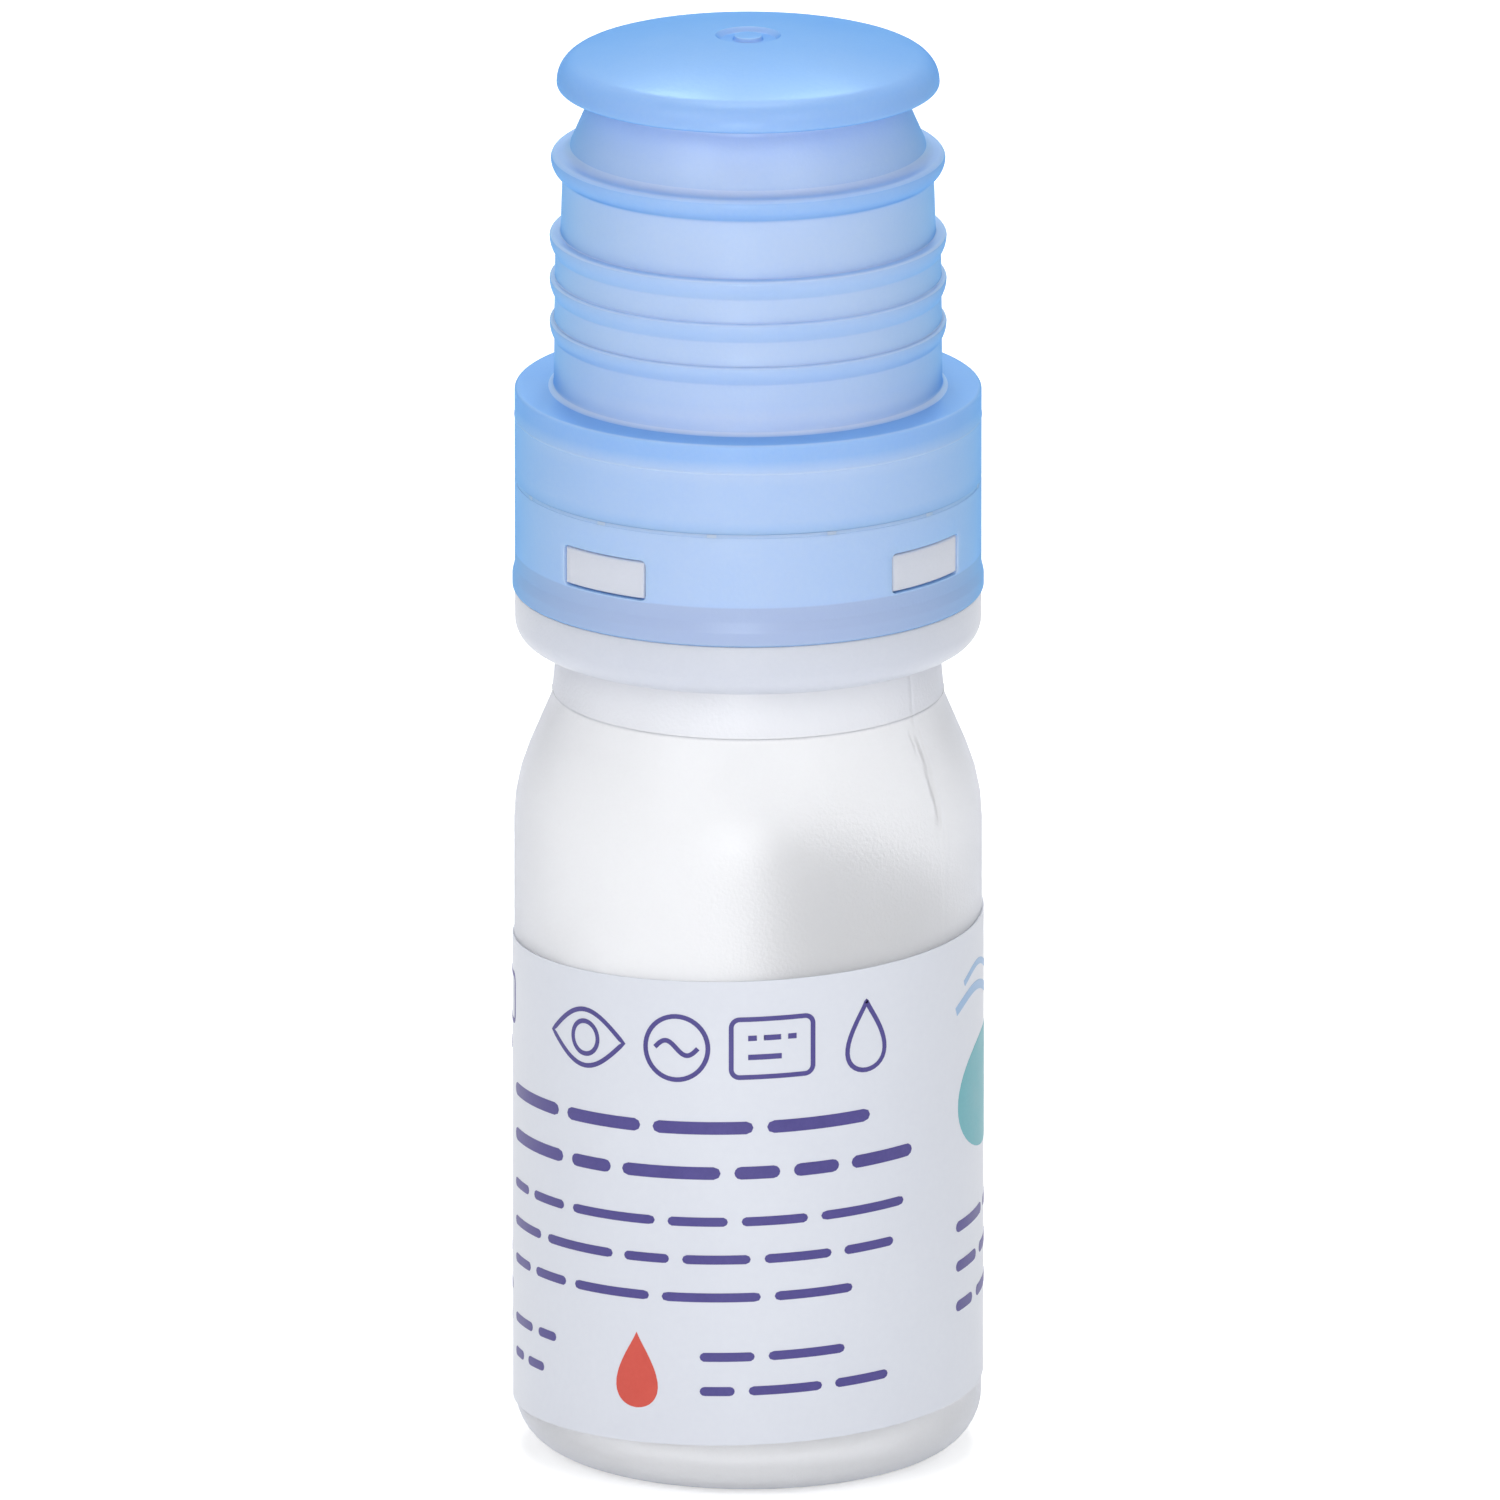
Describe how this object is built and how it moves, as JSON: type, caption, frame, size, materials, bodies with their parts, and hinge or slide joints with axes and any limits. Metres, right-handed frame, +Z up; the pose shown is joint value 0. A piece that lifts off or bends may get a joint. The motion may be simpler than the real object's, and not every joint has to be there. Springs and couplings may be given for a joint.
{
  "type": "eye drop bottle",
  "caption": "Squeeze bottle for eye drops with a press-on dispenser, sprung outlet valve, windowed tear band and a ringed pull-off cap.",
  "frame": {"origin": "middle of the face that the bottle stands on", "axes": "+Z up along the bottle's axis to the cap, -Y towards the viewer of the picture"},
  "size_m": [0.0252, 0.0252, 0.0777],
  "materials": {
    "bottle_plastic": "satin soft polyethylene, milky white",
    "label_film": "satin coated film, pale grey blue",
    "collar_plastic": "satin white",
    "cap_plastic": "translucent light blue, satin gloss",
    "nozzle_plastic": "satin white",
    "valve_plastic": "natural, undyed",
    "spring_steel": "drawn stainless wire",
    "filter_membrane": "matt porous membrane"
  },
  "bodies": {
    "bottle": {"bottle": "bottle_plastic", "label": "label_film", "dispenser_base": "collar_plastic", "tamper_band": "cap_plastic", "nozzle": "nozzle_plastic", "valve_cup": "valve_plastic", "valve_spring": "spring_steel", "vent_filter": "filter_membrane", "flow_restrictor": "valve_plastic"},
    "cap": {"cap": "cap_plastic"},
    "valve": {"valve_pin": "valve_plastic"}
  },
  "joints": [
    {"name": "cap_pull", "type": "slide", "parent": "bottle", "child": "cap", "axis": [0, 0, 1], "range_m": [0, 0.03]},
    {"name": "valve_stroke", "type": "slide", "parent": "bottle", "child": "valve", "axis": [0, 0, -1], "range_m": [0, 0.0005], "stiffness_N_per_m": 300, "springref_m": -0.002, "deforming": ["valve_spring"]}
  ]
}
